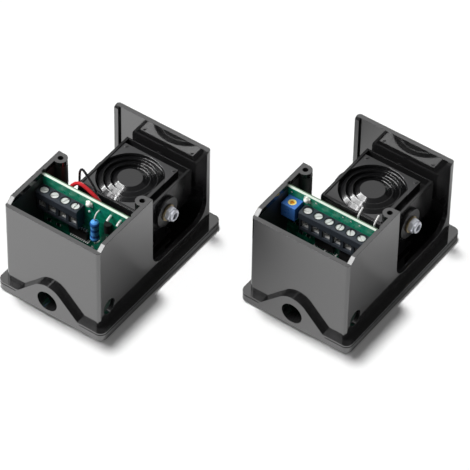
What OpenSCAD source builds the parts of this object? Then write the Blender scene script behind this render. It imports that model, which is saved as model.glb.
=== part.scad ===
// Gate safety photocell, a pair of units with their covers off:
// the transmitter on the left and the receiver on the right.
// Each unit lies on its mounting face. X runs across a unit, Y runs from
// the cable entry wall to the tall back wall, Z rises out of the mounting face.

/* [Pair] */
// Distance between the two units across, centre to centre
pair_x = 81.4; // [70:0.1:140]
// How far the receiver stands behind the transmitter
pair_y = 51.8; // [0:0.1:80]

/* [Housing] */
// Width of the housing over its side walls
body_w = 46; // [44:0.1:60]
// Length of the housing over the front and back walls
body_l = 74.5; // [74:0.1:90]
// Thickness of the walls
wall = 2; // [1.6:0.1:2.2]
// Thickness of the floor inside the walls
floor_t = 2; // [1.6:0.1:3]
// Height of the front wall over the mounting face
front_h = 45.4; // [44:0.1:50]
// How far the side walls rise above the front wall
side_step = 2; // [1:0.1:4]
// Height of the back wall over the mounting face
back_h = 44; // [38:0.1:50]
// Length of the short returns at the ends of the back wall
return_l = 3; // [2.4:0.1:4]
// Length of the chamfer at the front end of the side walls
chamfer_l = 2.8; // [1.5:0.1:4]
// Rounding of the upright outer corners
corner_r = 1.4; // [0.6:0.1:2]

/* [Base flange] */
// Thickness of the flange round the foot of the housing
flange_t = 4; // [3:0.1:5]
// How far the flange stands out at the sides
flange_side = 3.1; // [2:0.1:6]
// How far the flange stands out at the front
flange_front = 2.4; // [1.5:0.1:5]
// How far the flange stands out at the back
flange_back = 3.4; // [2:0.1:6]
// Rounding of the flange corners
flange_r = 3; // [2:0.1:5]
// Depth of the fine groove round the rim of the flange
rim_groove = 0.4; // [0.2:0.05:0.8]

/* [Side notch] */
// Distance from the end of the screw posts to the optical head
post_gap = 2.5; // [1.8:0.1:3.2]
// Height of the low wall beside the optical head
notch_z = 9.1; // [8:0.1:12]
// Rounding at the front foot of the notch
notch_front_r = 6.5; // [4:0.1:8]
// Rounding at the back foot of the notch
notch_back_r = 8; // [6:0.1:9]

/* [Cable entries] */
// Radius of the front cable entry
entry_r = 4.8; // [3:0.1:6]
// Place of the front cable entry across the unit
entry_x = -1; // [-3:0.1:3]
// Radius of the round top of the hump round the entry
hump_r = 8.5; // [7.5:0.1:10]
// Radius of the side cable entry
side_entry_r = 3.6; // [2:0.1:4.5]
// Distance of the side cable entry from the front face
side_entry_y = 6.5; // [6:0.1:9]
// Height of the side cable entry
side_entry_z = 11.5; // [9:0.1:14]

/* [Cover posts and fixing] */
// Radius of the round cover screw posts
boss_r = 2.9; // [2.6:0.05:3.4]
// Radius of the cover screw hole
boss_hole_r = 1.15; // [0.9:0.05:1.4]
// Depth of the cover screw hole
boss_hole_d = 14; // [8:0.5:20]
// Radius of the wall fixing holes in the floor
fixing_r = 2.25; // [1.6:0.05:2.6]
// Distance of the front fixing hole from the front face
fixing_front_y = 10.5; // [9:0.1:12]
// Distance of the rear fixing hole in front of the end of the screw posts
fixing_rear_in = 0.8; // [0:0.1:1.6]

/* [Circuit board] */
// Thickness of the circuit boards
board_t = 1.6; // [1:0.1:1.6]
// Distance from the board's back face to the end of the screw posts
board_room = 11.6; // [11:0.1:12.2]
// How far the board's top edge lies below the side walls
board_drop = 1.6; // [1:0.1:3]
// Height of the board's bottom edge
board_z0 = 8; // [6:0.1:9]
// Depth of the grooves that hold the board
groove_d = 0.6; // [0.4:0.05:0.9]
// Clearance of the board in its grooves
board_gap = 0.05; // [0.05:0.01:0.15]

/* [Terminal blocks] */
// Distance from one terminal to the next
pitch = 5.08; // [5:0.01:5.08]
// How far the blocks stand out from the board
block_d = 5.2; // [5:0.1:6]
// Height of the blocks
block_h = 10; // [9:0.1:11]
// How far the blocks' tops lie below the board's top edge
block_drop = 4.6; // [4:0.1:6]
// Radius of the terminal screws
term_screw_r = 1.75; // [1.4:0.05:1.8]
// Distance of the transmitter block's left end from the side wall
tx_block_gap = 0.15; // [0.1:0.05:1]
// Distance of the receiver block's right end from the side wall
rx_block_gap = 2.8; // [1:0.1:3]

/* [Optical head] */
// Width of the head
head_w = 31.6; // [30:0.1:32]
// Length of the head
head_l = 33.2; // [31:0.1:33.4]
// Height of the head
head_h = 16; // [15:0.1:17]
// Gap between the head and the back wall
head_gap = 1.5; // [1.4:0.1:3]
// Height of the tilt axis over the mounting face
pivot_z = 22.8; // [22:0.1:25]
// How far the middle of the head lies above the tilt axis
head_rise = 0.8; // [0:0.1:1]
// Distance of the tilt axis from the middle of the head, to the front
pivot_back = 1.6; // [1:0.1:2.5]
// Wall thickness of the head
head_wall = 2; // [1.6:0.1:2.4]
// Rounding of the head's lower edges
head_low_r = 4.5; // [4:0.1:5]
// Rounding of the head's upper edges
head_top_r = 0.8; // [0.4:0.1:1]
// Width of the rim round the top of the head
rim_w = 1.1; // [0.8:0.1:1.4]
// Radius of the round hubs on the head's sides
hub_r = 6.6; // [5:0.1:7]
// How far the hubs stand out from the head's sides
hub_t = 1.6; // [0.8:0.1:1.8]

/* [Lens] */
// Radius of the ringed part of the lens
lens_r = 13.9; // [12:0.1:14.2]
// Radius of the flat middle of the lens
lens_flat_r = 5.1; // [4:0.1:6]
// Number of rings on the lens
lens_rings = 3; // [2:1:6]
// Depth of the step between rings
lens_step = 2; // [0.5:0.1:2.2]
// Thickness of the lens plate
lens_t = 3.1; // [3:0.05:3.2]
// Distance from the middle of the lens to the straight edge of its outer ring
lens_clip = 11.3; // [10.5:0.1:12.5]
// Margin between the lens plate and the head's left side
lens_left = 1.2; // [1.15:0.05:1.8]
// Margin between the lens plate and the head's right side
lens_right = 4.1; // [3:0.1:5]
// Margin between the lens plate and the head's front
lens_front = 1.7; // [1.5:0.1:2.5]
// Margin between the lens plate and the head's back
lens_back = 3.4; // [2:0.1:4]

/* [Tilt pivot] */
// Radius of the pivot bolt and pin
pivot_r = 1.5; // [1.2:0.05:1.6]
// Running clearance of the pivots, on the radius
pivot_fit = 0.05; // [0.03:0.01:0.08]
// Width across the flats of the lock nut
nut_af = 5.6; // [5.2:0.1:6.2]
// Height of the lock nut with its collar
nut_h = 3.2; // [2.8:0.1:3.4]
// Radius of the washer under the nut
washer_r = 3.6; // [3.4:0.1:4.4]
// Thickness of the washer under the nut
washer_t = 0.5; // [0.3:0.05:0.6]
// Thickness of the yoke's ears
ear_t = 2; // [1.6:0.1:2.4]
// Radius of the rounded tops of the yoke's ears
ear_r = 3.4; // [3:0.05:3.5]

/* [Board components] */
// Radius of the indicator light
led_r = 1.25; // [1:0.05:1.5]
// Radius of the transmitter's standing resistor
res_r = 1.95; // [1.4:0.05:2.1]
// Length of the resistor's body
res_l = 11.4; // [9:0.1:12]
// Side of the sensitivity trimmer
trim_w = 6.6; // [6:0.1:7]
// Radius of the trimmer's rotor
rotor_r = 1.7; // [1.3:0.05:2]
// Radius of the receiver's bare leads
lead_r = 0.45; // [0.3:0.05:0.6]
// Radius of the red wire over its insulation
red_r = 0.8; // [0.5:0.05:0.8]
// Radius of the thin dark wire
dark_r = 0.5; // [0.3:0.05:0.6]

/* [Hidden] */
$fn = 48;

// Overrun of every cut past the face that it opens
over = 1;
// Clearance between pieces that touch on the real object
touch = 0.02;

// Places worked out from the sizes above
half_w = body_w / 2;
inner_x = half_w - wall;
side_h = front_h + side_step;
back_y = body_l - wall;
return_y = body_l - return_l;
boss_x = half_w - boss_r - wall / 20;
entry_z = floor_t + entry_r;
base_y0 = -flange_front;
base_y1 = body_l + flange_back;
base_mid = (base_y0 + base_y1) / 2;
board_z1 = side_h - board_drop;
board_x = inner_x + groove_d - board_gap;
block_top = board_z1 - block_drop;
head_x = head_w / 2;
head_y1 = back_y - head_gap;
head_y0 = head_y1 - head_l;
head_z0 = pivot_z + head_rise - head_h / 2;
head_z1 = pivot_z + head_rise + head_h / 2;
pivot_y = (head_y0 + head_y1) / 2 - pivot_back;
head_inner_x = head_x - head_wall;
hub_x = head_x + hub_t;
post_end = head_y0 - post_gap;
boss_y = post_end - boss_r;
fixing_rear_y = post_end - fixing_rear_in;
board_back = post_end - board_room;
board_y = board_back - board_t;
block_front = board_y - block_d;

// The two units stand in the row's frame round the middle of the pair
tx_at = [-pair_x / 2, -pair_y / 2 - base_mid, 0];
rx_at = [pair_x / 2, pair_y / 2 - base_mid, 0];

// A flat rectangle with its two bottom and two top corners rounded
module round_rect(x0, x1, y0, y1, r_left, r_right, r_top) {
    difference() {
        translate([x0, y0]) square([x1 - x0, y1 - y0]);
        corner_cut(x0, y0, r_left, 1, 1);
        corner_cut(x1, y0, r_right, -1, 1);
        corner_cut(x0, y1, r_top, 1, -1);
        corner_cut(x1, y1, r_top, -1, -1);
    }
}

// The sliver that a rounded corner leaves outside its arc
module corner_cut(x, y, r, sx, sy) {
    if (r > 0) translate([x, y]) scale([sx, sy]) difference() {
        translate([-over, -over]) square([r + over, r + over]);
        translate([r, r]) circle(r = r);
    }
}

// Turns a flat outline drawn in Y and Z into a slab that is w wide in X
module across(x0, w) {
    translate([x0, 0, 0]) rotate([90, 0, 90]) linear_extrude(height = w) children();
}

// A flat ring of outer radius r and inner radius hole, h high
module ring(r, hole, h) {
    difference() {
        cylinder(r = r, h = h);
        translate([0, 0, -over]) cylinder(r = hole, h = h + 2 * over);
    }
}

// Housing: one moulding with a flange, an open box for the board, screw
// posts, low walls beside the head and a tall back wall with short returns
hump_line = hump_r * sqrt(2);
return_chamfer = (return_l - wall) * 9 / 10;
fixing_ys = [fixing_front_y, fixing_rear_y];
yoke_seat_r = 3;
yoke_seat_x = 7;
yoke_z = flange_t;
pilot_r = 1.2;
pilot_floor = floor_t / 2;

module flange() {
    groove_h = flange_t / 9;
    groove_z = flange_t * 5 / 7;
    difference() {
        linear_extrude(height = flange_t) flange_outline(0);
        difference() {
            translate([0, 0, groove_z]) linear_extrude(height = groove_h) flange_outline(-over);
            translate([0, 0, groove_z - over]) linear_extrude(height = groove_h + 2 * over)
                flange_outline(rim_groove);
        }
    }
}

module flange_outline(inset) {
    round_rect(-half_w - flange_side + inset, half_w + flange_side - inset,
        base_y0 + inset, base_y1 - inset, flange_r, flange_r, flange_r);
}

module side_outline() {
    difference() {
        polygon([[0, 0], [body_l, 0], [body_l, back_h],
            [return_y + return_chamfer, back_h], [return_y, back_h - return_chamfer],
            [return_y, notch_z + notch_back_r], [post_end, notch_z + notch_back_r],
            [post_end, side_h], [wall * 0.85 + chamfer_l, side_h],
            [wall * 0.85, front_h], [0, front_h]]);
        round_rect(post_end, return_y, notch_z, notch_z + 2 * notch_back_r,
            notch_front_r, notch_back_r, 0);
    }
}

module hump() {
    translate([0, wall / 2, 0]) rotate([90, 0, 0])
    linear_extrude(height = flange_front + wall / 2) difference() {
        union() {
            translate([entry_x, entry_z]) circle(r = hump_r);
            translate([entry_x, entry_z]) polygon([[-hump_line, 0], [-hump_r / sqrt(2), hump_r / sqrt(2)],
                [hump_r / sqrt(2), hump_r / sqrt(2)], [hump_line, 0],
                [hump_line + entry_z, -entry_z], [-hump_line - entry_z, -entry_z]]);
        }
        translate([-body_w, flange_t / 2 - body_w]) square([2 * body_w, body_w]);
    }
}

module housing() {
    color("dimgray") difference() {
        union() {
            flange();
            difference() {
                intersection() {
                    linear_extrude(height = side_h)
                        round_rect(-half_w, half_w, 0, body_l, corner_r, corner_r, corner_r);
                    across(-half_w, body_w) side_outline();
                }
                translate([-inner_x, wall, floor_t]) cube([2 * inner_x, back_y - wall, side_h]);
                translate([-inner_x, -over, front_h]) cube([2 * inner_x, wall + 2 * over, side_h]);
            }
            hump();
            for (s = [-1, 1]) {
                translate([s * boss_x, boss_y, 0]) cylinder(r = boss_r, h = side_h);
                translate([s * yoke_seat_x, pivot_y, 0]) cylinder(r = yoke_seat_r, h = yoke_z);
            }
        }
        translate([-inner_x, wall, floor_t]) difference() {
            cube([2 * inner_x, back_y - wall, flange_t]);
            for (s = [-1, 1]) {
                translate([s * boss_x + inner_x, boss_y - wall, -over])
                    cylinder(r = boss_r, h = flange_t + 2 * over);
                translate([s * yoke_seat_x + inner_x, pivot_y - wall, -over])
                    cylinder(r = yoke_seat_r, h = flange_t + 2 * over);
            }
        }
        translate([entry_x, wall + over / 2, entry_z]) rotate([90, 0, 0])
            cylinder(r = entry_r, h = wall + flange_front + 2 * over);
        translate([inner_x - over, side_entry_y, side_entry_z]) rotate([0, 90, 0])
            cylinder(r = side_entry_r, h = wall + 2 * over);
        for (s = [-1, 1]) {
            translate([s * boss_x, boss_y, side_h - boss_hole_d])
                cylinder(r = boss_hole_r, h = boss_hole_d + over);
            translate([s * yoke_seat_x, pivot_y, pilot_floor])
                cylinder(r = pilot_r, h = yoke_z + over);
        }
        for (y = fixing_ys) translate([0, y, -over]) cylinder(r = fixing_r, h = floor_t + 2 * over);
        translate([-board_x - board_gap, board_y - board_gap, board_z0])
            cube([2 * (board_x + board_gap), board_t + 2 * board_gap, side_h]);
    }
}

// Yoke: a moulded cradle screwed to the floor, with one ear bored for the
// pivot bolt and one ear carrying a moulded pivot pin
yoke_t = 1.5;
yoke_half_l = 7;
ear_gap = 0.1;
ear_x = head_inner_x - ear_gap;
pin_end = hub_x - pivot_r / 10;
screw_head_r = 2.7;
screw_head_h = 1.6;
screw_r = 1.15;

module ear_outline() {
    translate([pivot_y, pivot_z]) circle(r = ear_r);
    translate([pivot_y - ear_r, yoke_z]) square([2 * ear_r, pivot_z - yoke_z]);
    translate([pivot_y - yoke_half_l, yoke_z]) square([2 * yoke_half_l, yoke_t]);
}

module yoke() {
    color("darkslategray") difference() {
        union() {
            translate([-ear_x, pivot_y - yoke_half_l, yoke_z])
                cube([2 * ear_x, 2 * yoke_half_l, yoke_t]);
            across(ear_x - ear_t, ear_t) ear_outline();
            across(-ear_x, ear_t) ear_outline();
            translate([-pin_end, pivot_y, pivot_z]) rotate([0, 90, 0])
                cylinder(r = pivot_r, h = pin_end - ear_x + ear_t / 2);
        }
        translate([ear_x - ear_t - over, pivot_y, pivot_z]) rotate([0, 90, 0])
            cylinder(r = pivot_r + touch, h = ear_t + 2 * over);
        for (s = [-1, 1]) translate([s * yoke_seat_x, pivot_y, yoke_z - over])
            cylinder(r = screw_r + touch, h = yoke_t + 2 * over);
    }
}

module yoke_screws() {
    slot_w = screw_head_r / 4;
    color("silver") for (s = [-1, 1]) translate([s * yoke_seat_x, pivot_y, 0]) difference() {
        union() {
            translate([0, 0, pilot_floor + touch])
                cylinder(r = screw_r, h = yoke_z + yoke_t - pilot_floor);
            translate([0, 0, yoke_z + yoke_t + touch]) cylinder(r = screw_head_r, h = screw_head_h);
        }
        for (a = [0, 90]) rotate([0, 0, a])
            translate([-screw_head_r * 2 / 3, -slot_w / 2, yoke_z + yoke_t + screw_head_h / 2])
                cube([screw_head_r * 4 / 3, slot_w, screw_head_h]);
    }
}

// Optical head: an open bottomed shell with a rim round a sunk top that
// carries the lens plate, round hubs at the pivot and pillars for its board
plate_x0 = -head_x + lens_left;
plate_x1 = head_x - lens_right;
plate_y0 = head_y0 + lens_front;
plate_y1 = head_y1 - lens_back;
lens_x = plate_x0 + lens_r - lens_left * 2 / 5;
lens_y = pivot_y + pivot_back / 16;
rim_h = 0.4;
deck_z = head_z1 - rim_h - lens_t;
deck_t = 1.2;
light_r = 10.5;
optic_w = 20;
optic_l = 20;
optic_z = head_z0 + head_h / 8;
optic_x0 = lens_x - optic_w / 2 + lens_right / 4;
pillar_r = 1.6;
pillar_in = 2.2;
rim_tab_r = 1.2;

module head_outline() {
    round_rect(head_y0, head_y1, head_z0, head_z1, head_low_r, head_low_r, head_top_r);
}

module optic_corners() {
    for (x = [optic_x0 + pillar_in, optic_x0 + optic_w - pillar_in])
        for (y = [lens_y - optic_l / 2 + pillar_in, lens_y + optic_l / 2 - pillar_in])
            translate([x, y, 0]) children();
}

module head_shell() {
    color("dimgray") {
        difference() {
            union() {
                across(-head_x, head_w) head_outline();
                translate([-hub_x, pivot_y, pivot_z]) rotate([0, 90, 0])
                    cylinder(r = hub_r, h = 2 * hub_x);
            }
            translate([-head_inner_x, head_y0 + head_wall, head_z0 - over])
                cube([2 * head_inner_x, head_l - 2 * head_wall, deck_z - deck_t - head_z0 + over]);
            translate([lens_x, lens_y, deck_z - deck_t - over])
                cylinder(r = light_r, h = deck_t + 2 * over);
            translate([-head_x + rim_w, head_y0 + rim_w, deck_z])
                cube([head_w - 2 * rim_w, head_l - 2 * rim_w, head_h]);
            for (s = [0, 1]) translate([s == 0 ? -hub_x - over : head_inner_x - over, pivot_y, pivot_z])
                rotate([0, 90, 0]) cylinder(r = pivot_r + pivot_fit, h = head_wall + hub_t + 2 * over);
        }
        optic_corners() translate([0, 0, optic_z + board_t])
            cylinder(r = pillar_r, h = deck_z - deck_t - optic_z - board_t);
        translate([0, head_y1 - rim_w / 3, head_z1 - rim_h]) intersection() {
            rotate([90, 0, 0]) cylinder(r = rim_tab_r, h = rim_w / 3);
            translate([-rim_tab_r, -rim_w, 0]) cube([2 * rim_tab_r, 2 * rim_w, 2 * rim_tab_r]);
        }
    }
}

// Lens plate: black plate with saw tooth rings, each a crest that slopes
// down outwards, the outer ring cut straight, and two nubs at the back
ring_w = (lens_r - lens_flat_r) / lens_rings;
nub_r = 0.7;
nub_h = 0.4;
nub_xs = [plate_x0 + 2 * nub_r, plate_x1 - 2 * nub_r];

function ring_profile() = concat(
    [[lens_flat_r, over], [lens_flat_r, 0]],
    [for (i = [0 : lens_rings - 1]) each [
        [lens_flat_r + (i + 1) * ring_w, -lens_step],
        [lens_flat_r + (i + 1) * ring_w, i == lens_rings - 1 ? over : 0]]]);

module lens() {
    color("black") {
        difference() {
            translate([plate_x0, plate_y0, deck_z + touch])
                cube([plate_x1 - plate_x0, plate_y1 - plate_y0, lens_t - touch]);
            intersection() {
                translate([lens_x, lens_y, deck_z + lens_t]) rotate_extrude() polygon(ring_profile());
                translate([lens_x - 2 * lens_r, lens_y - 2 * lens_r, deck_z])
                    cube([2 * lens_r + lens_clip, 4 * lens_r, 2 * lens_t]);
            }
        }
        for (x = nub_xs) translate([x, plate_y1 - 2 * nub_r, deck_z + lens_t])
            cylinder(r = nub_r, h = nub_h);
    }
}

module optic_board() {
    color("seagreen") difference() {
        translate([optic_x0, lens_y - optic_l / 2, optic_z]) cube([optic_w, optic_l, board_t - touch]);
        optic_corners() translate([0, 0, optic_z - over]) cylinder(r = pillar_r / 2, h = board_t + 2 * over);
    }
}

// Emitter or sensor: a flanged body with a round top on the small board
sensor_r = 2.5;
sensor_rim_r = 2.9;
sensor_rim_h = 1;
sensor_l = 3;

module sensor(c) {
    color(c) translate([lens_x, lens_y, optic_z + board_t]) {
        cylinder(r = sensor_rim_r, h = sensor_rim_h);
        cylinder(r = sensor_r, h = sensor_l);
        intersection() {
            translate([0, 0, sensor_l]) sphere(r = sensor_r);
            translate([0, 0, sensor_l - sensor_r / 2]) cylinder(r = sensor_r, h = 2 * sensor_r);
        }
    }
}

// Tilt pivot: a short bolt through the ear and the head, a washer and a
// lock nut whose collar is narrower than its hexagon
bolt_head_h = 2;
bolt_head_r = 2.8;
washer_x = hub_x + pivot_fit;
nut_x = washer_x + washer_t + touch;
nut_end = nut_x + nut_h;
collar_r = nut_af * 0.46;
hex_share = 0.62;
bolt_short = nut_h / 3;

module along_x(x) {
    translate([x, pivot_y, pivot_z]) rotate([0, 90, 0]) children();
}

module pivot_bolt() {
    color("silver") {
        along_x(ear_x - ear_t - touch - bolt_head_h) cylinder(r = bolt_head_r, h = bolt_head_h);
        along_x(ear_x - ear_t - touch - bolt_head_h / 2)
            cylinder(r = pivot_r, h = nut_end - bolt_short - ear_x + ear_t + bolt_head_h / 2);
    }
}

module washer() {
    color("tan") along_x(washer_x) ring(washer_r, pivot_r + touch, washer_t);
}

module lock_nut() {
    hex_h = nut_h * hex_share;
    corner = nut_af / 2 / cos(30);
    color("silver") along_x(nut_x) difference() {
        union() {
            intersection() {
                rotate([0, 0, 30]) cylinder(r = corner, h = hex_h, $fn = 6);
                union() {
                    cylinder(r = corner, h = hex_h * 3 / 4);
                    translate([0, 0, hex_h * 3 / 4])
                        cylinder(r1 = corner, r2 = nut_af * 0.48, h = hex_h / 4);
                }
            }
            cylinder(r = collar_r, h = nut_h - collar_r / 8);
            translate([0, 0, nut_h - collar_r / 8])
                cylinder(r1 = collar_r, r2 = collar_r * 7 / 8, h = collar_r / 8);
        }
        translate([0, 0, -over]) cylinder(r = pivot_r + touch, h = nut_h + 2 * over);
    }
}

// Main board: stands in the grooves of the side walls
module board() {
    color("mediumseagreen") translate([-board_x, board_y, board_z0 + touch])
        cube([2 * board_x, board_t, board_z1 - board_z0 - touch]);
}

// Terminal blocks: a screw well on top and a wire entry in front per pole
strip_h = 3.8;
entry_w = 3.7;
entry_h = 4.6;
well_d = 3;
screw_sink = 0.3;
end_skin = (pitch - entry_w) / 2;
block_lip = 0.6;

module terminal_block(x0, poles) {
    color("slategray") difference() {
        across(x0 + touch, poles * pitch - 2 * touch) polygon([[board_y - touch, block_top - block_h],
            [block_front + block_lip, block_top - block_h],
            [block_front + block_lip, block_top - strip_h - entry_h],
            [block_front + block_lip, block_top - strip_h], [block_front, block_top - strip_h],
            [block_front, block_top - block_lip], [block_front + block_lip, block_top],
            [board_y - touch, block_top]]);
        for (i = [0 : poles - 1]) translate([x0 + (i + 1 / 2) * pitch, 0, 0]) {
            translate([0, board_y - block_d / 2, block_top - well_d])
                cylinder(r = term_screw_r + touch, h = well_d + over);
            translate([-entry_w / 2, block_front - over, block_top - strip_h - entry_h])
                cube([entry_w, block_d * 4 / 5 + over, entry_h]);
        }
    }
}

module terminal_screws(x0, poles) {
    head_z = block_top - screw_sink;
    slot_w = term_screw_r / 3;
    color("gainsboro") for (i = [0 : poles - 1])
        translate([x0 + (i + 1 / 2) * pitch, board_y - block_d / 2, block_top - well_d + touch])
        difference() {
            cylinder(r = term_screw_r, h = head_z - block_top + well_d);
            rotate([0, 0, 20 + 25 * i])
                translate([-2 * term_screw_r, -slot_w / 2, head_z - block_top + well_d - slot_w])
                    cube([4 * term_screw_r, slot_w, 2 * slot_w]);
        }
}

module terminal_cages(x0, poles) {
    cage_w = entry_w - 4 * touch;
    cage_h = entry_h - 4 * touch;
    cage_d = block_d / 2;
    skin = entry_w / 7;
    color("gainsboro") for (i = [0 : poles - 1])
        translate([x0 + (i + 1 / 2) * pitch - cage_w / 2, board_y - block_d / 5 - cage_d - touch,
            block_top - strip_h - entry_h + 2 * touch]) difference() {
            cube([cage_w, cage_d, cage_h]);
            translate([skin, -over, skin]) cube([cage_w - 2 * skin, cage_d + 2 * over, cage_h / 2]);
        }
}

pole_room_share = 0.49;
trim_side = 0.8;
tx_poles = floor(2 * inner_x * pole_room_share / pitch);
rx_poles = floor((2 * inner_x - rx_block_gap - trim_w - 2 * trim_side) / pitch / 2);
tx_block_x = -inner_x + tx_block_gap;
tx_block_end = tx_block_x + tx_poles * pitch;
rx_block_x = inner_x - rx_block_gap - 2 * rx_poles * pitch;
tx_room = inner_x - tx_block_end;

// Small parts on the front of the boards
led_l = 1.9;
tx_led_down = 2.2;
rx_led_down = 1.5;
tx_led_x = tx_block_end + tx_room / 8;
rx_led_x = rx_block_x + led_r / 2;
res_x = tx_block_end + tx_room * 0.34;
res_out = 3.1;
res_down = 6.3;
res_lead_r = 0.35;
chip_w = 8.7;
chip_h = 3.9;
chip_t = 1.5;
chip_down = 4.1;
chip_z = block_top - block_h - chip_down - chip_h;
tx_chip_x = tx_block_end - chip_w * 2 / 7;
rx_chip_x = rx_block_x + chip_w * 1.17;
pin_w = 0.45;
pin_l = 1.1;
chip_pins = 7;
chip_step = 1.27;
trans_r = 1.6;
trans_h = 4.4;
trans_down = 6.8;
trans_x = tx_block_end + tx_room * 0.57;
stub_r = 0.6;
stub_l = 2.7;
stub_down = 2.8;
stub_xs = [tx_block_end + tx_room * 0.61, tx_block_end + tx_room * 0.83];

module led(x, down) {
    color("white") translate([x, board_y - touch, board_z1 - down]) rotate([90, 0, 0]) {
        cylinder(r = led_r * 1.15, h = led_r / 2);
        cylinder(r = led_r, h = led_l - led_r);
        intersection() {
            translate([0, 0, led_l - led_r]) sphere(r = led_r);
            cylinder(r = led_r, h = led_l);
        }
    }
}

// Resistor: standing body with swelled ends, its top lead bent to the board
res_z1 = board_z1 - res_down;
res_y = board_y - res_out;

module resistor() {
    bulge = res_r;
    waist = res_r * 0.88;
    color("lightskyblue") translate([res_x, res_y, res_z1 - res_l]) union() {
        translate([0, 0, bulge]) cylinder(r = waist, h = res_l - 2 * bulge);
        for (z = [bulge, res_l - bulge]) translate([0, 0, z]) sphere(r = bulge);
    }
}

module resistor_lead() {
    top = res_z1 + res_r;
    foot = res_z1 - res_l - res_r;
    far = board_y - touch;
    color("silver") {
        wire([[res_x, res_y, res_z1 + touch], [res_x, res_y, top - res_r / 2],
            [res_x, res_y + res_r / 4, top], [res_x, (res_y + far) / 2, top + res_r / 2],
            [res_x, far, top + res_r / 2]], res_lead_r, [0, 0, 1], [0, 1, 0]);
        wire([[res_x, res_y, foot + res_r - touch], [res_x, res_y, foot + res_r / 2],
            [res_x, res_y + res_r / 4, foot], [res_x, (res_y + far) / 2, foot - res_r / 4],
            [res_x, far, foot - res_r / 4]], res_lead_r, [0, 0, -1], [0, 1, 0]);
    }
}

module chip(x) {
    color("black") translate([x - chip_w / 2, board_y - chip_t, chip_z])
        cube([chip_w, chip_t - touch, chip_h]);
}

module chip_pins(x) {
    color("silver") for (i = [0 : chip_pins - 1]) for (s = [0, 1])
        translate([x + (i - (chip_pins - 1) / 2) * chip_step - pin_w / 2, board_y - touch - chip_t / 2,
            s == 0 ? chip_z - pin_l : chip_z + chip_h + touch])
            cube([pin_w, chip_t / 2, pin_l - touch]);
}

module transistor() {
    color("black") translate([trans_x, board_y - trans_r * 2 / 3 - touch,
        board_z1 - trans_down - trans_h])
    difference() {
        cylinder(r = trans_r, h = trans_h);
        translate([-2 * trans_r, trans_r * 2 / 3, -over]) cube([4 * trans_r, trans_r, trans_h + 2 * over]);
    }
}

module solder_stubs() {
    color("gainsboro") for (x = stub_xs)
        wire([[x, board_y - touch, board_z1 - stub_down],
            [x, board_y - stub_l / 3, board_z1 - stub_down],
            [x, board_y - stub_l * 2 / 3, board_z1 - stub_down - stub_l / 8],
            [x, board_y - stub_l, board_z1 - stub_down - stub_l / 3]],
            stub_r, [0, -1, 0], unit([0, -3, -2]));
}

// Sensitivity trimmer: square body with a round well for its rotor
trim_d = 5.8;
trim_top = board_z1 - 3.8;
trim_x = -inner_x + trim_w / 2 + trim_side;
trim_y = board_y - trim_d / 2;
well_gap = 0.06;
well_deep = 1;
rotor_h = 0.8;

module trimmer_body() {
    color("royalblue") difference() {
        translate([trim_x - trim_w / 2, board_y - trim_d, trim_top - trim_w])
            cube([trim_w, trim_d - touch, trim_w]);
        translate([trim_x, trim_y, trim_top - well_deep]) cylinder(r = rotor_r + well_gap, h = well_deep + over);
    }
}

module trimmer_rotor() {
    slot_w = rotor_r / 3;
    color("gold") translate([trim_x, trim_y, trim_top - well_deep + touch]) difference() {
        cylinder(r = rotor_r, h = rotor_h);
        for (a = [0, 90]) rotate([0, 0, a])
            translate([-rotor_r * 3 / 5, -slot_w / 2, rotor_h / 2]) cube([rotor_r * 6 / 5, slot_w, rotor_h]);
    }
}

// Bare leads behind the receiver's board, bent up and back over its edge
lead_xs = [inner_x - 10.9, inner_x - 3.3];
lead_low = 4;
lead_out = 1.6;
lead_back = 4.6;
lead_rise = 1.9;

module leads() {
    color("gainsboro") for (x = lead_xs)
        wire([[x, board_back + touch, board_z1 - lead_low],
            [x, board_back + lead_out / 2, board_z1 - lead_low],
            [x, board_back + lead_out, board_z1 - lead_low + lead_out],
            [x, board_back + lead_out, board_z1 - lead_r],
            [x, board_back + 2 * lead_out, board_z1 + lead_rise / 2],
            [x, board_back + lead_back, board_z1 + lead_rise]], lead_r, [0, 1, 0], [0, 1, 0]);
}

// Relay: plain sealed box on the back of the receiver's board
relay_w = 13.4;
relay_h = 14;
relay_d = 9.5;
relay_z = board_z0 + relay_h / 3;
relay_x = -boss_x + boss_r + relay_w / 2 + lead_out / 2;

module relay() {
    color("whitesmoke") translate([relay_x - relay_w / 2, board_back + touch, relay_z])
        cube([relay_w, relay_d, relay_h]);
}

// Wires from the transmitter's board down to the yoke, points by hand, with
// Y counted from the back of the board
red_route = [[-14, 0, 32], [-14, 1.9, 32], [-13.8, 3.6, 34.6], [-12.6, 4.9, 38.2],
    [-10.6, 5.6, 41.1], [-8.3, 5.8, 42.4], [-5.7, 5.9, 41.8], [-2.9, 5.9, 40.6], [-0.4, 5.9, 39.2],
    [1.4, 6.2, 36.6], [2.6, 6.9, 31], [3.1, 7.9, 22], [3.2, 9.2, 13], [3.2, 11.5, 8.4],
    [3.2, 14.9, 6], [3.2, 18.3, 4.9]];
dark_route = [[-11, 0, 27], [-11, 2.3, 27], [-11, 5.9, 28.6], [-11, 7.9, 33], [-10.9, 8.7, 38.4],
    [-10.8, 8.9, 42.4], [-10.6, 8.9, 45.4], [-9.5, 8.9, 47.1], [-8, 8.9, 46.1], [-6, 8.9, 43.6],
    [-4.2, 8.9, 41.1], [-2.9, 9, 38.6], [-2.8, 9.1, 33], [-3, 9.2, 22], [-3.1, 9.9, 13],
    [-3.2, 12.1, 7.6], [-3.2, 15.7, 5.2]];
function to_yoke(route) = let (x = route[len(route) - 1][0], y = pivot_y - yoke_half_l) concat(
    [for (p = route) [p[0], board_back + p[1], p[2]]],
    [[x, y - yoke_t, yoke_z + yoke_t / 2], [x, y, yoke_z + yoke_t / 2]]);

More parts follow.
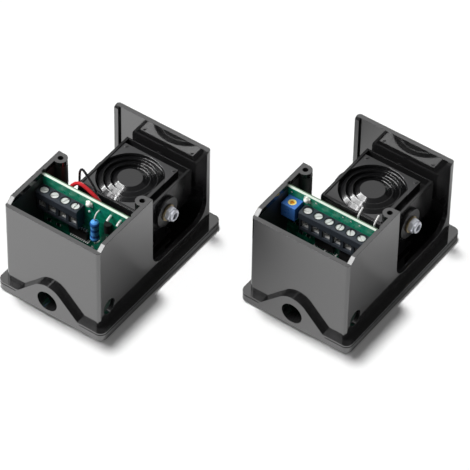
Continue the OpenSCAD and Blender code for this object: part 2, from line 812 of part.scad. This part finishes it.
// Points on a smooth curve through the route, two for each stretch
function curve_at(p0, p1, p2, p3, t) =
    (p1 * 2 + (p2 - p0) * t + (p0 * 2 - p1 * 5 + p2 * 4 - p3) * t * t
    + (p1 * 3 - p0 - p2 * 3 + p3) * t * t * t) / 2;
function smooth(route) = let (n = len(route)) concat(
    [for (i = [0 : n - 2]) for (t = [0, 1 / 2])
        curve_at(route[max(i - 1, 0)], route[i], route[i + 1], route[min(i + 2, n - 1)], t)],
    [route[n - 1]]);
function unit(v) = v / norm(v);
function headings(pts, first, last) = let (n = len(pts))
    [for (i = [0 : n - 1]) i == 0 ? first : i == n - 1 ? last : unit(pts[i + 1] - pts[i - 1])];
function next_side(side, heading) = unit(side - heading * (side * heading));

module wire(route, r, first, last) {
    sides = 8;
    pts = smooth(route);
    dirs = headings(pts, first, last);
    n = len(pts);
    frames = [for (i = 0, s = [1, 0, 0]; i < n; i = i + 1,
        s = i < n ? next_side(s, dirs[i]) : s) s];
    rings = [for (i = [0 : n - 1]) for (k = [0 : sides - 1]) let (a = 360 * k / sides)
        pts[i] + r * (cos(a) * frames[i] + sin(a) * cross(dirs[i], frames[i]))];
    polyhedron(points = rings, convexity = 6, faces = concat(
        [[for (k = [0 : sides - 1]) k]],
        [for (i = [0 : n - 2]) for (k = [0 : sides - 1]) let (a = i * sides + k,
            b = i * sides + (k + 1) % sides) each [[a, a + sides, b], [b, a + sides, b + sides]]],
        [[for (k = [sides - 1 : -1 : 0]) (n - 1) * sides + k]]));
}

module red_wire() {
    color("indianred") wire(to_yoke(red_route), red_r, [0, 1, 0], [0, 1, 0]);
}

module dark_wire() {
    color("dimgray") wire(to_yoke(dark_route), dark_r, [0, 1, 0], [0, 1, 0]);
}

translate(tx_at) housing();  // tx_housing
translate(tx_at) yoke();  // tx_yoke
translate(tx_at) yoke_screws();  // tx_yoke_screws
translate(tx_at) head_shell();  // tx_head_shell
translate(tx_at) lens();  // tx_lens
translate(tx_at) optic_board();  // tx_optic_board
translate(tx_at) sensor("lightblue");  // tx_emitter
translate(tx_at) pivot_bolt();  // tx_pivot_bolt
translate(tx_at) washer();  // tx_washer
translate(tx_at) lock_nut();  // tx_lock_nut
translate(tx_at) board();  // tx_board
translate(tx_at) terminal_block(tx_block_x, tx_poles);  // tx_terminal_block
translate(tx_at) terminal_screws(tx_block_x, tx_poles);  // tx_terminal_screws
translate(tx_at) terminal_cages(tx_block_x, tx_poles);  // tx_terminal_cages
translate(tx_at) led(tx_led_x, tx_led_down);  // tx_led
translate(tx_at) resistor();  // tx_resistor
translate(tx_at) resistor_lead();  // tx_resistor_lead
translate(tx_at) chip(tx_chip_x);  // tx_chip
translate(tx_at) chip_pins(tx_chip_x);  // tx_chip_pins
translate(tx_at) transistor();  // tx_transistor
translate(tx_at) solder_stubs();  // tx_solder_stubs
translate(tx_at) red_wire();  // tx_red_wire
translate(tx_at) dark_wire();  // tx_dark_wire
translate(rx_at) housing();  // rx_housing
translate(rx_at) yoke();  // rx_yoke
translate(rx_at) yoke_screws();  // rx_yoke_screws
translate(rx_at) head_shell();  // rx_head_shell
translate(rx_at) lens();  // rx_lens
translate(rx_at) optic_board();  // rx_optic_board
translate(rx_at) sensor("black");  // rx_photodiode
translate(rx_at) pivot_bolt();  // rx_pivot_bolt
translate(rx_at) washer();  // rx_washer
translate(rx_at) lock_nut();  // rx_lock_nut
translate(rx_at) board();  // rx_board
translate(rx_at) terminal_block(rx_block_x, rx_poles);  // rx_terminal_block_a
translate(rx_at) terminal_block(rx_block_x + rx_poles * pitch, rx_poles);  // rx_terminal_block_b
translate(rx_at) terminal_screws(rx_block_x, 2 * rx_poles);  // rx_terminal_screws
translate(rx_at) terminal_cages(rx_block_x, 2 * rx_poles);  // rx_terminal_cages
translate(rx_at) led(rx_led_x, rx_led_down);  // rx_led
translate(rx_at) trimmer_body();  // rx_trimmer_body
translate(rx_at) trimmer_rotor();  // rx_trimmer_rotor
translate(rx_at) leads();  // rx_leads
translate(rx_at) chip(rx_chip_x);  // rx_chip
translate(rx_at) chip_pins(rx_chip_x);  // rx_chip_pins
translate(rx_at) relay();  // rx_relay
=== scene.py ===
import math
import bpy
from mathutils import Matrix, Vector


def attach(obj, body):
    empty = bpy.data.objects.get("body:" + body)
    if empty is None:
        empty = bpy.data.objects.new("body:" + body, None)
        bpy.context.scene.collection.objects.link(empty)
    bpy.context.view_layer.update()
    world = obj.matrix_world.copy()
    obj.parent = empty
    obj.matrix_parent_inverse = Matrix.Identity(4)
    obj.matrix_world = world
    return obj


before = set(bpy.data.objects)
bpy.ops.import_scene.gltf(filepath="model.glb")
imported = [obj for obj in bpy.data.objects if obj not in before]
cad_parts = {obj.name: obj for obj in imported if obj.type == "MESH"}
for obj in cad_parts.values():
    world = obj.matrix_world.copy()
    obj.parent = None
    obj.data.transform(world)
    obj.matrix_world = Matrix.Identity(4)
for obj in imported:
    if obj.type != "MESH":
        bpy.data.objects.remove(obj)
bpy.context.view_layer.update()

# Camera: a long lens looks down on the pair from the front right, turned a
# little about its own axis as in the photograph.
turn, lift, roll = math.radians(34.75), math.radians(45.74), math.radians(1.16)
aim, distance = Vector((0.00402, -0.00302, 0.02)), 1.5557
reach = math.cos(lift)
toward = Vector((math.sin(turn) * reach, -math.cos(turn) * reach, math.sin(lift)))
level = Vector((math.cos(turn), math.sin(turn), 0))
upright = toward.cross(level)
side = level * math.cos(roll) + upright * math.sin(roll)
top = upright * math.cos(roll) - level * math.sin(roll)
bpy.ops.object.camera_add()
camera = bpy.context.object
camera.data.lens = 300.8
camera.data.sensor_width = 36
camera.data.clip_end = 20
held = Matrix((side, top, toward)).transposed().to_4x4()
camera.matrix_world = Matrix.Translation(aim + toward * distance) @ held
bpy.context.scene.camera = camera
bpy.context.scene.view_settings.view_transform = "Standard"

# Light tent: white to the camera; gloss sees a dim tent with one bright panel
# high at the back left, whose image lies on the tops of walls and lenses.
def put(socket, source):
    if isinstance(source, bpy.types.NodeSocket):
        socket.id_data.links.new(source, socket)
    elif socket.type == "RGBA":
        socket.default_value = (*source, 1)
    else:
        socket.default_value = source

def node_in(made, kind):
    return made.node_tree.nodes.new("ShaderNode" + kind)

def worked(made, kind, operation, *sources):
    node = node_in(made, kind)
    node.operation = operation
    for socket, source in zip(node.inputs, sources):
        put(socket, source)
    return next(result for result in node.outputs if result.enabled)

def ramp(made, source, start, end, low=0.0, high=1.0, kind="LINEAR"):
    span = node_in(made, "MapRange")
    span.interpolation_type = kind
    for socket, value in (("Value", source), ("From Min", start), ("From Max", end),
            ("To Min", low), ("To Max", high)):
        put(span.inputs[socket], value)
    return span.outputs["Result"]

def blend(made, factor, first, second, kind="FLOAT"):
    mixed = node_in(made, "Mix")
    mixed.data_type = kind
    for socket, source in (("Factor", factor), ("A", first), ("B", second)):
        put(mixed.inputs[socket], source)
    return mixed.outputs["Result"]

tent = bpy.data.worlds.new("light_tent")
bpy.context.scene.world = tent
tent.use_nodes = True
sky = tent.node_tree.nodes["Background"].inputs
put(sky["Color"], (1, 1, 1))
plain_level, dim_level = 0.2, 0.14
panel_way = Vector((-0.398, 0.573, 0.716))
outward = node_in(tent, "TexCoord").outputs["Generated"]
nearness = worked(tent, "VectorMath", "DOT_PRODUCT", outward, panel_way)
panel = ramp(tent, nearness, 0.84, 0.95, dim_level, 1.0, "SMOOTHSTEP")
ray = node_in(tent, "LightPath").outputs
seen = worked(tent, "Math", "MAXIMUM", ray["Is Camera Ray"], ray["Is Transmission Ray"])
unseen = blend(tent, ray["Is Glossy Ray"], plain_level, panel)
put(sky["Strength"], blend(tent, seen, unseen, 1.0))

# Table: a white sheet that the camera sees, with the narrow soft shadow of
# the photograph, over a second white sheet that only the gloss sees.
def white_sheet(name, height):
    bpy.ops.mesh.primitive_plane_add(size=6, location=(0, 0, height))
    sheet = bpy.context.object
    sheet.name = name
    paper = bpy.data.materials.new(name)
    paper.use_nodes = True
    shader = paper.node_tree.nodes["Principled BSDF"].inputs
    put(shader["Specular IOR Level"], 0)
    put(shader["Roughness"], 1)
    put(shader["Base Color"], (0.9, 0.9, 0.9))
    sheet.data.materials.append(paper)
    return sheet

table = white_sheet("table", -0.0002)
table.visible_glossy = table.visible_diffuse = table.visible_shadow = False
mirror_table = white_sheet("mirror_table", -0.0003)
mirror_table.visible_camera = False

# Lamps: a soft lamp on the left and a wide one overhead light the pair, and a
# small one almost overhead lights the table alone and makes its narrow shadow.
pair_middle = Vector((0, 0, 0.02))

def lamp_from(name, kind, place, power):
    bpy.ops.object.light_add(type=kind, location=place)
    lamp = bpy.context.object
    lamp.name = name
    lamp.data.energy = power
    lamp.rotation_euler = (pair_middle - lamp.location).to_track_quat("-Z", "Y").to_euler()
    return lamp

def link_light(lamp, things, state):
    chosen = bpy.data.collections.new(lamp.name + "_things")
    for thing in things:
        chosen.objects.link(thing)
    lamp.light_linking.receiver_collection = chosen
    for member in chosen.collection_objects:
        member.light_linking.link_state = state

side_lamp = lamp_from("side_lamp", "AREA", (-0.5, -0.32, 0.6), 7.5)
side_lamp.data.size = 0.36
top_lamp = lamp_from("top_lamp", "SUN", (-0.3, -0.3, 1.0), 1.5)
top_lamp.data.angle = math.radians(30)
shadow_lamp = lamp_from("shadow_lamp", "SUN", (-0.2, 0.1, 1.0), 3.15)
shadow_lamp.data.angle = math.radians(9)
for lamp, state in ((side_lamp, "EXCLUDE"), (top_lamp, "EXCLUDE"), (shadow_lamp, "INCLUDE")):
    lamp.visible_glossy = False
    link_light(lamp, [table], state)

# Two soft boxes at one place, seen only in gloss: a weak one for the short
# chamfers of the walls, and a strong wide one for the rings of the lenses.
box_place, box_way = Vector((-1.2, -0.74, 1.42)), Vector((-0.5, 0.29, -0.28))

def soft_box(name, width, height, power):
    box = lamp_from(name, "AREA", box_place, power)
    box.data.shape = "RECTANGLE"
    box.data.size, box.data.size_y = width, height
    back = (box.location - pair_middle).normalized()
    along = (box_way - back * box_way.dot(back)).normalized()
    box.rotation_euler = Matrix((along, back.cross(along), back)).transposed().to_euler()
    box.visible_diffuse = False
    return box

soft_box("chamfer_box", 1.4, 0.45, 11.0)
ring_box = soft_box("ring_box", 1.5, 1.4, 270.0)
link_light(ring_box, [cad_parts["tx_lens"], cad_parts["rx_lens"]], "INCLUDE")

# Housings: one black moulding each, polished outside and left duller in the
# wiring room, with faint flow waves and softened edges that catch the light.
def give(made, socket, source):
    put(made.node_tree.nodes["Principled BSDF"].inputs[socket], source)

def place_on(made):
    return node_in(made, "TexCoord").outputs["Object"]

def mottle(made, scale, low=0.0, high=1.0, detail=3.0):
    noise = node_in(made, "TexNoise")
    for socket, source in (("Vector", place_on(made)), ("Scale", scale), ("Detail", detail)):
        put(noise.inputs[socket], source)
    return ramp(made, noise.outputs["Fac"], 0.3, 0.7, low, high)

def surface(name, base, rough=0.5, ior=1.5, metallic=0.0):
    made = bpy.data.materials.new(name)
    made.use_nodes = True
    if isinstance(rough, tuple):
        grain, smoothest, roughest = rough
        rough = mottle(made, grain, smoothest, roughest)
    for socket, source in (("Base Color", base), ("Roughness", rough), ("IOR", ior),
            ("Metallic", metallic)):
        give(made, socket, source)
    return made

def rounded(made, radius, samples):
    soft = node_in(made, "Bevel")
    soft.samples = samples
    put(soft.inputs["Radius"], radius)
    return soft.outputs["Normal"]

def softened(made, edge):
    crease = node_in(made, "AmbientOcclusion")
    crease.samples = 6
    crease.only_local = True
    put(crease.inputs["Distance"], edge * 3)
    open_edge = ramp(made, crease.outputs["AO"], 0.8, 0.95)
    plain = node_in(made, "NewGeometry").outputs["Normal"]
    return blend(made, open_edge, plain, rounded(made, edge, 6), "VECTOR")

def relief(made, height, depth, normal=None):
    bump = node_in(made, "Bump")
    put(bump.inputs["Height"], height)
    put(bump.inputs["Distance"], depth)
    if normal:
        put(bump.inputs["Normal"], normal)
    give(made, "Normal", bump.outputs["Normal"])

def part_of(made, vector, axis):
    split = node_in(made, "SeparateXYZ")
    put(split.inputs["Vector"], vector)
    return split.outputs[axis]

def within(made, middle, half):
    off = worked(made, "VectorMath", "SUBTRACT", place_on(made), middle)
    span = worked(made, "VectorMath", "ABSOLUTE", off)
    share = worked(made, "VectorMath", "DIVIDE", span, half)
    widest = part_of(made, share, "X")
    for axis in ("Y", "Z"):
        widest = worked(made, "Math", "MAXIMUM", widest, part_of(made, share, axis))
    return worked(made, "Math", "LESS_THAN", widest, 1.0)

def moulded_black(name, ior, smoothest, roughest, room=None):
    made = surface(name, (0.011, 0.0108, 0.0112), ior=ior)
    rough, duller = mottle(made, 180, smoothest, roughest), 0.5
    if room:
        rough = blend(made, within(made, *room), rough, duller)
    give(made, "Roughness", rough)
    wave_depth, edge = 0.000012, 0.00025
    relief(made, mottle(made, 45, detail=1.0), wave_depth, softened(made, edge))
    return made

def dress(made, *names):
    for name in names:
        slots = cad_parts[name].data.materials
        slots.clear()
        slots.append(made)

unit_at = {"tx": Vector((-0.0407, -0.06365, 0)), "rx": Vector((0.0407, -0.01185, 0))}
room_middle, room_half = Vector((0, 0.0186, 0.024)), (0.0212, 0.0167, 0.0212)
for unit, corner in unit_at.items():
    housing_black = moulded_black(unit + "_housing_black", ior=2.0, smoothest=0.06,
        roughest=0.11, room=(corner + room_middle, room_half))
    dress(housing_black, unit + "_housing")

# Optical heads: a black moulded shell with a satin plate, whose stepped ring
# lens is polished, both in infrared clear plastic that looks black. The rings
# are turned in the mould, so their gloss runs round the lens without facets.
def level_place(made):
    return worked(made, "VectorMath", "MULTIPLY", place_on(made), (1, 1, 0))

def radius_from(made, axis):
    return worked(made, "VectorMath", "DISTANCE", level_place(made), axis)

def into_space(made, normal, old, new):
    change = node_in(made, "VectorTransform")
    change.vector_type = "NORMAL"
    change.convert_from, change.convert_to = old, new
    put(change.inputs["Vector"], normal)
    return change.outputs["Vector"]

def turned_normal(made, axis):
    facet = into_space(made, rounded(made, 0.0003, 8), "WORLD", "OBJECT")
    off = worked(made, "VectorMath", "SUBTRACT", level_place(made), axis)
    out = worked(made, "VectorMath", "NORMALIZE", off)
    lean = worked(made, "Math", "SIGN", worked(made, "VectorMath", "DOT_PRODUCT", facet, out))
    rise = part_of(made, facet, "Z")
    fall = worked(made, "Math", "MULTIPLY", rise, -1.0)
    level_square = worked(made, "Math", "MULTIPLY_ADD", fall, rise, 1.0)
    across = worked(made, "Math", "MULTIPLY", worked(made, "Math", "SQRT", level_square), lean)
    straight = node_in(made, "CombineXYZ")
    put(straight.inputs["Z"], rise)
    turned = worked(made, "VectorMath", "ADD",
        worked(made, "VectorMath", "MULTIPLY", out, across), straight.outputs["Vector"])
    return into_space(made, turned, "OBJECT", "WORLD")

head_black = moulded_black("head_black", ior=1.52, smoothest=0.16, roughest=0.26)
dress(head_black, "tx_head_shell", "rx_head_shell")
lens_middle, lens_radius = Vector((-0.0012, 0.0529, 0)), 0.01395
for unit, corner in unit_at.items():
    axis = corner + lens_middle
    lens_black = surface(unit + "_lens_black", (0.008, 0.008, 0.009), ior=1.6)
    radius = radius_from(lens_black, axis)
    plate = worked(lens_black, "Math", "GREATER_THAN", radius, lens_radius)
    polished, satin = mottle(lens_black, 400, 0.1, 0.17), mottle(lens_black, 2500, 0.34, 0.46)
    give(lens_black, "Roughness", blend(lens_black, plate, polished, satin))
    give(lens_black, "Base Color", blend(lens_black, plate,
        (0.006, 0.006, 0.0065), (0.018, 0.018, 0.019), "RGBA"))
    flat = node_in(lens_black, "NewGeometry").outputs["True Normal"]
    relief(lens_black, mottle(lens_black, 60, detail=1.0), 0.000008,
        blend(lens_black, plate, turned_normal(lens_black, axis), flat, "VECTOR"))
    dress(lens_black, unit + "_lens")

# Yokes: satin black nylon cradles that carry the optical heads, moulded in
# one piece each and screwed to the floor of the housings.
yoke_black = surface("yoke_black", (0.012, 0.012, 0.013), (900, 0.3, 0.45))
relief(yoke_black, mottle(yoke_black, 2500), 0.00001, softened(yoke_black, 0.0003))
dress(yoke_black, "tx_yoke", "rx_yoke")

# Pivot hardware: bright zinc lock nuts and screws, yellow passivated washers
# and black oxide bolts, whose ends lie deep in the nuts.
zinc = surface("zinc_steel", (0.86, 0.88, 0.95), (1500, 0.34, 0.46), metallic=0.65)
relief(zinc, mottle(zinc, 2200), 0.000003, softened(zinc, 0.0002))
dress(zinc, "tx_yoke_screws", "rx_yoke_screws", "tx_lock_nut", "rx_lock_nut")
yellow_zinc = surface("yellow_zinc", (0.42, 0.34, 0.2), (1200, 0.32, 0.5), metallic=1.0)
dress(yellow_zinc, "tx_washer", "rx_washer")
black_oxide = surface("black_oxide", (0.03, 0.03, 0.032), (1400, 0.38, 0.55), metallic=0.5)
dress(black_oxide, "tx_pivot_bolt", "rx_pivot_bolt")

# Circuit boards: woven glass laminate under a green solder mask, with the
# pale laminate bare along the cut edges and faint tracks under the mask.
board_front, board_back, bare_edge = 0.0221, 0.0237, 0.0005

def board_green(name, back):
    made = surface(name, (0.004, 0.22, 0.1), (600, 0.25, 0.38))
    facing = part_of(made, node_in(made, "NewGeometry").outputs["True Normal"], "Z")
    edge = worked(made, "Math", "GREATER_THAN", facing, 0.5)
    depth = part_of(made, place_on(made), "Y")
    core = worked(made, "Math", "LESS_THAN", depth, back - bare_edge)
    turned = node_in(made, "Mapping")
    put(turned.inputs["Vector"], place_on(made))
    put(turned.inputs["Rotation"], (math.pi / 2, 0, 0))
    tracks = node_in(made, "TexBrick")
    for socket, source in (("Vector", turned.outputs["Vector"]), ("Scale", 110),
            ("Mortar Size", 0.05), ("Color1", (0.003, 0.165, 0.09)),
            ("Color2", (0.003, 0.18, 0.1)), ("Mortar", (0.006, 0.22, 0.13))):
        put(tracks.inputs[socket], source)
    cut = blend(made, core, (0.1, 0.16, 0.1), (0.6, 0.68, 0.6), "RGBA")
    give(made, "Base Color", blend(made, edge, tracks.outputs["Color"], cut, "RGBA"))
    relief(made, tracks.outputs["Fac"], 0.00001)
    return made

for unit, corner in unit_at.items():
    mask_green = board_green(unit + "_mask_green", corner.y + board_back)
    dress(mask_green, unit + "_board", unit + "_optic_board")

# Terminal blocks: slate nylon mouldings soldered to the boards, with nickel
# plated screws above nickel plated cages. Bare leads have the same finish.
slate = surface("slate_nylon", (0.03, 0.036, 0.045), (900, 0.33, 0.5))
relief(slate, mottle(slate, 3000), 0.000012, softened(slate, 0.0002))
dress(slate, "tx_terminal_block", "rx_terminal_block_a", "rx_terminal_block_b")
nickel = surface("nickel", (0.95, 0.95, 0.93), (1800, 0.4, 0.6), metallic=0.55)
relief(nickel, mottle(nickel, 2600), 0.000004, softened(nickel, 0.00015))
dress(nickel, "tx_terminal_screws", "rx_terminal_screws", "tx_terminal_cages",
    "rx_terminal_cages", "tx_resistor_lead", "rx_leads", "tx_solder_stubs")

# Chips and transistor: black epoxy packages, the chips soldered flat on the
# boards by rows of tinned pins.
epoxy = surface("epoxy_black", (0.012, 0.012, 0.012), (1200, 0.42, 0.6))
dress(epoxy, "tx_chip", "rx_chip", "tx_transistor")
tinned = surface("tinned_pins", (0.9, 0.9, 0.88), (1700, 0.4, 0.55), metallic=0.35)
dress(tinned, "tx_chip_pins", "rx_chip_pins")

# Indicator lights: milky, unevenly clouded moulded domes that let some light
# through, soldered near the top of each board.
milky = surface("milky_dome", (0.85, 0.87, 0.84), (700, 0.15, 0.3))
give(milky, "Base Color", blend(milky, mottle(milky, 900, 0.0, 1.6),
    (0.3, 0.33, 0.29), (0.88, 0.89, 0.83), "RGBA"))
give(milky, "Subsurface Weight", 0.3)
give(milky, "Subsurface Radius", (0.002, 0.002, 0.002))
dress(milky, "tx_led", "rx_led")

# Standing resistor: a lacquered light blue body with darker rings, stood on
# one end on the transmitter's board.
ring_step, ring_start, ring_full = 0.00165, 0.0009, 0.0011
light_blue, dark_blue = (0.08, 0.3, 0.68), (0.02, 0.09, 0.3)
lacquer = surface("blue_lacquer", light_blue, 0.22)
climb = worked(lacquer, "Math", "PINGPONG", part_of(lacquer, place_on(lacquer), "Z"), ring_step)
give(lacquer, "Base Color", blend(lacquer, ramp(lacquer, climb, ring_start, ring_full),
    light_blue, dark_blue, "RGBA"))
dress(lacquer, "tx_resistor")

# Emitter and sensor: clear blue epoxy in the transmitter and dark filter
# epoxy in the receiver, soldered to the small boards in the heads.
emitter_blue = surface("emitter_blue", (0.3, 0.4, 0.7), (500, 0.05, 0.12))
give(emitter_blue, "Transmission Weight", 0.5)
dress(emitter_blue, "tx_emitter")
filter_dark = surface("filter_dark", (0.01, 0.004, 0.006), (500, 0.06, 0.14))
dress(filter_dark, "rx_photodiode")

# Wires of the transmitter: soft plastic insulation, one red and one dark,
# led from the board down to the head's yoke.
dress(surface("red_insulation", (0.5, 0.022, 0.028), (900, 0.25, 0.4)), "tx_red_wire")
dress(surface("dark_insulation", (0.02, 0.02, 0.022), (900, 0.2, 0.35)), "tx_dark_wire")

# Sensitivity trimmer: a blue moulded square body, and a rotor with a yellow
# rim round an orange middle that a small screwdriver turns.
trimmer_blue = surface("trimmer_blue", (0.05, 0.17, 0.5), (800, 0.22, 0.4))
relief(trimmer_blue, mottle(trimmer_blue, 2600), 0.00001, softened(trimmer_blue, 0.0003))
dress(trimmer_blue, "rx_trimmer_body")
rotor_axis = unit_at["rx"] + Vector((-0.0169, 0.0192, 0))
rotor_orange = surface("rotor_orange", (0.85, 0.5, 0.05), (800, 0.28, 0.45))
rim = ramp(rotor_orange, radius_from(rotor_orange, rotor_axis), 0.00085, 0.00105)
give(rotor_orange, "Base Color", blend(rotor_orange, rim,
    (0.75, 0.3, 0.02), (0.92, 0.74, 0.22), "RGBA"))
dress(rotor_orange, "rx_trimmer_rotor")

# Relay: a sealed case of white plastic, whose pins are soldered through the
# receiver's board from behind.
case_white = surface("case_white", (0.75, 0.75, 0.72), (900, 0.28, 0.45))
relief(case_white, mottle(case_white, 2600), 0.00001, softened(case_white, 0.0003))
dress(case_white, "rx_relay")

# Solder: bright tin beads where leads and terminal pins come through the
# boards, flowed by hand, a little flattened, each cut flat on its board.
solder_tin = surface("solder_tin", (0.85, 0.85, 0.83), (1600, 0.3, 0.46), metallic=0.7)
relief(solder_tin, mottle(solder_tin, 1800), 0.00002)

def spot(unit, x, z, out):
    return unit_at[unit] + Vector((x / 1000, board_front - out / 1000, z / 1000))

def bead(place, radius, height, way):
    bpy.ops.object.select_all(action="DESELECT")
    bpy.ops.mesh.primitive_uv_sphere_add(segments=20, ring_count=12, radius=radius / 1000,
        location=place)
    bpy.context.object.scale = (1.05, height / radius, 0.92)
    bpy.ops.object.transform_apply(location=True, rotation=True, scale=True)
    bpy.ops.object.mode_set(mode="EDIT")
    bpy.ops.mesh.select_all(action="SELECT")
    bpy.ops.mesh.bisect(plane_co=place, plane_no=(0, way, 0), use_fill=True, clear_inner=True)
    bpy.ops.object.mode_set(mode="OBJECT")
    bpy.ops.object.shade_smooth_by_angle(angle=math.radians(50))
    return bpy.context.object

def joined(parts, name, finish):
    bpy.ops.object.select_all(action="DESELECT")
    for part in parts:
        part.select_set(True)
    bpy.context.view_layer.objects.active = parts[0]
    if len(parts) > 1:
        bpy.ops.object.join()
    piece = bpy.context.object
    piece.name = piece.data.name = name
    piece.data.materials.append(finish)
    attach(piece, "bases")

pitch, pole_height = 5.08, 36.4
poles = {"tx": [-18.31 + pitch * n for n in range(4)], "rx": [-9.74 + pitch * n for n in range(6)]}
sunk = 0.01
behind = sunk - (board_back - board_front) * 1000
for unit in ("tx", "rx"):
    joined([bead(spot(unit, x, pole_height, behind), 1.05, 0.8, 1) for x in poles[unit]],
        unit + "_terminal_solder", solder_tin)
joined([bead(spot("tx", 2.0, 39.1, -sunk), 0.6, 0.6, -1),
    bead(spot("tx", 3.1, 19.8, -sunk), 0.65, 0.7, -1)],
    "tx_front_solder", solder_tin)
lead_ends = ((-19.2, 43.9), (5.1, 44.3), (8.9, 44.2), (12.9, 44.3), (-7.6, 44.4))
joined([bead(spot("rx", x, z, -sunk), 0.42, 0.18, -1) for x, z in lead_ends],
    "rx_front_solder", solder_tin)

# Painted shade in the screw wells: a thin black ring laid round each sunken
# terminal screw on the top of the block stands in for the shadow in the well.
# Size and place of the painted shade rings; the small sideways shift puts them where the shadow
# falls.
shade_ring_radius, shade_ring_height, shade_ring_width = 0.00218, 0.00014, 0.00034
shadow_side_shift, block_top, shade_ring_out = 0.12, 41.23, 2.48
# Painted shade: this black finish colours the rings that stand in for the shadow in the screw
# wells.
painted_well_shade = surface("painted_well_shade", (0.008, 0.008, 0.009), (1500, 0.35, 0.5))
for unit, mould in (("tx", "tx_terminal_block"), ("rx", "rx_terminal_block_a")):
    painted_shade_rings = []
    for x in poles[unit]:
        bpy.ops.object.select_all(action="DESELECT")
        bpy.ops.mesh.primitive_cylinder_add(vertices=40, radius=shade_ring_radius, depth=shade_ring_height,
            end_fill_type="NGON", location=spot(unit, x + shadow_side_shift, block_top, shade_ring_out))
        rim = bpy.context.object
        bpy.ops.object.transform_apply(location=True, rotation=True, scale=True)
        bpy.ops.object.mode_set(mode="EDIT")
        bpy.ops.mesh.select_mode(type="FACE")
        bpy.ops.mesh.select_all(action="DESELECT")
        bpy.ops.object.mode_set(mode="OBJECT")
        for face in rim.data.polygons:
            face.select = abs(face.normal.z) > 0.9
        bpy.ops.object.mode_set(mode="EDIT")
        bpy.ops.mesh.inset(thickness=shade_ring_width, use_individual=True)
        bpy.ops.mesh.delete(type="FACE")
        bpy.ops.mesh.select_mode(type="EDGE")
        bpy.ops.mesh.select_non_manifold()
        bpy.ops.mesh.bridge_edge_loops()
        bpy.ops.object.mode_set(mode="OBJECT")
        bpy.ops.object.shade_smooth_by_angle(angle=math.radians(40))
        painted_shade_rings.append(rim)
    # The joined rings are painted shade, not a moulded rim.
    joined(painted_shade_rings, unit + "_painted_screw_well_shade", painted_well_shade)

# Small parts of the boards: the receiver's second chip with its bent legs,
# and chip resistors with tinned ends, all soldered flat by machine.
def block(place, size, soft):
    bpy.ops.object.select_all(action="DESELECT")
    bpy.ops.mesh.primitive_cube_add(size=1, location=place)
    bpy.context.object.scale = Vector(size) / 1000
    bpy.ops.object.transform_apply(location=True, rotation=True, scale=True)
    bpy.ops.object.mode_set(mode="EDIT")
    bpy.ops.mesh.select_all(action="SELECT")
    bpy.ops.mesh.bevel(offset=soft / 1000, segments=2, affect="EDGES")
    bpy.ops.object.mode_set(mode="OBJECT")
    bpy.ops.object.shade_smooth_by_angle(angle=math.radians(40))
    return bpy.context.object

joined([block(spot("rx", 11.3, 24.4, 0.75), (12.6, 1.5, 4.8), 0.16)],
    "rx_second_chip", epoxy)
first_leg, leg_step, leg_rows = 5.9, 1.35, (21.7, 27.0)
joined([block(spot("rx", first_leg + leg_step * n, z, 0.42), (0.42, 0.84, 0.9), 0.08)
    for n in range(9) for z in leg_rows], "rx_second_chip_legs", tinned)
resistor_ceramic = surface("resistor_ceramic", (0.03, 0.03, 0.035), (1200, 0.25, 0.42))
rows = {
    "rx": [(-18.2, 28.5), (-15.4, 28.5), (-12.6, 28.5), (-10.4, 24.6),
        (-14.0, 24.6), (4.0, 29.0), (13.8, 28.9), (16.8, 29.4)],
    "tx": [(-18.6, 27.5), (-15.4, 27.5), (-12.2, 27.5), (-18.0, 22.6),
        (-13.4, 22.6), (11.2, 29.6), (14.6, 29.6), (11.2, 25.6)]}
end_reach = 0.86
for unit, places in rows.items():
    joined([block(spot(unit, x, z, 0.3), (1.5, 0.55, 1.05), 0.08) for x, z in places],
        unit + "_chip_resistors", resistor_ceramic)
    joined([block(spot(unit, x + end, z, 0.31), (0.45, 0.6, 1.12), 0.09)
        for x, z in places for end in (-end_reach, end_reach)],
        unit + "_resistor_ends", solder_tin)

# Header pins: square tinned posts soldered through both boards under the
# chips, for the test of the finished board.
first_pin, pin_step = -6.3, 0.93
joined([block(spot("tx", first_pin + pin_step * n, 22.7, 1.05), (0.4, 2.05, 0.42), 0.08)
    for n in range(10)], "tx_header_pins", tinned)
joined([block(spot("rx", x, 22.6, 1.0), (0.75, 1.9, 0.6), 0.12) for x in (-6.6, -1.6, 3.4)],
    "rx_header_pins", tinned)

# Indicator light bases: a square milky foot with two soldered tabs under
# each moulded dome.
tab_reach, tab_drop = 1.3, 0.75
for unit, x, z in (("tx", 2.16, 43.6), ("rx", -11.66, 44.3)):
    joined([block(spot(unit, x, z, 0.35), (3.0, 0.66, 1.9), 0.2)],
        unit + "_led_foot", milky)
    joined([block(spot(unit, x + tab, z - tab_drop, 0.3), (0.7, 0.5, 0.9), 0.12)
        for tab in (-tab_reach, tab_reach)],
        unit + "_led_tabs", solder_tin)
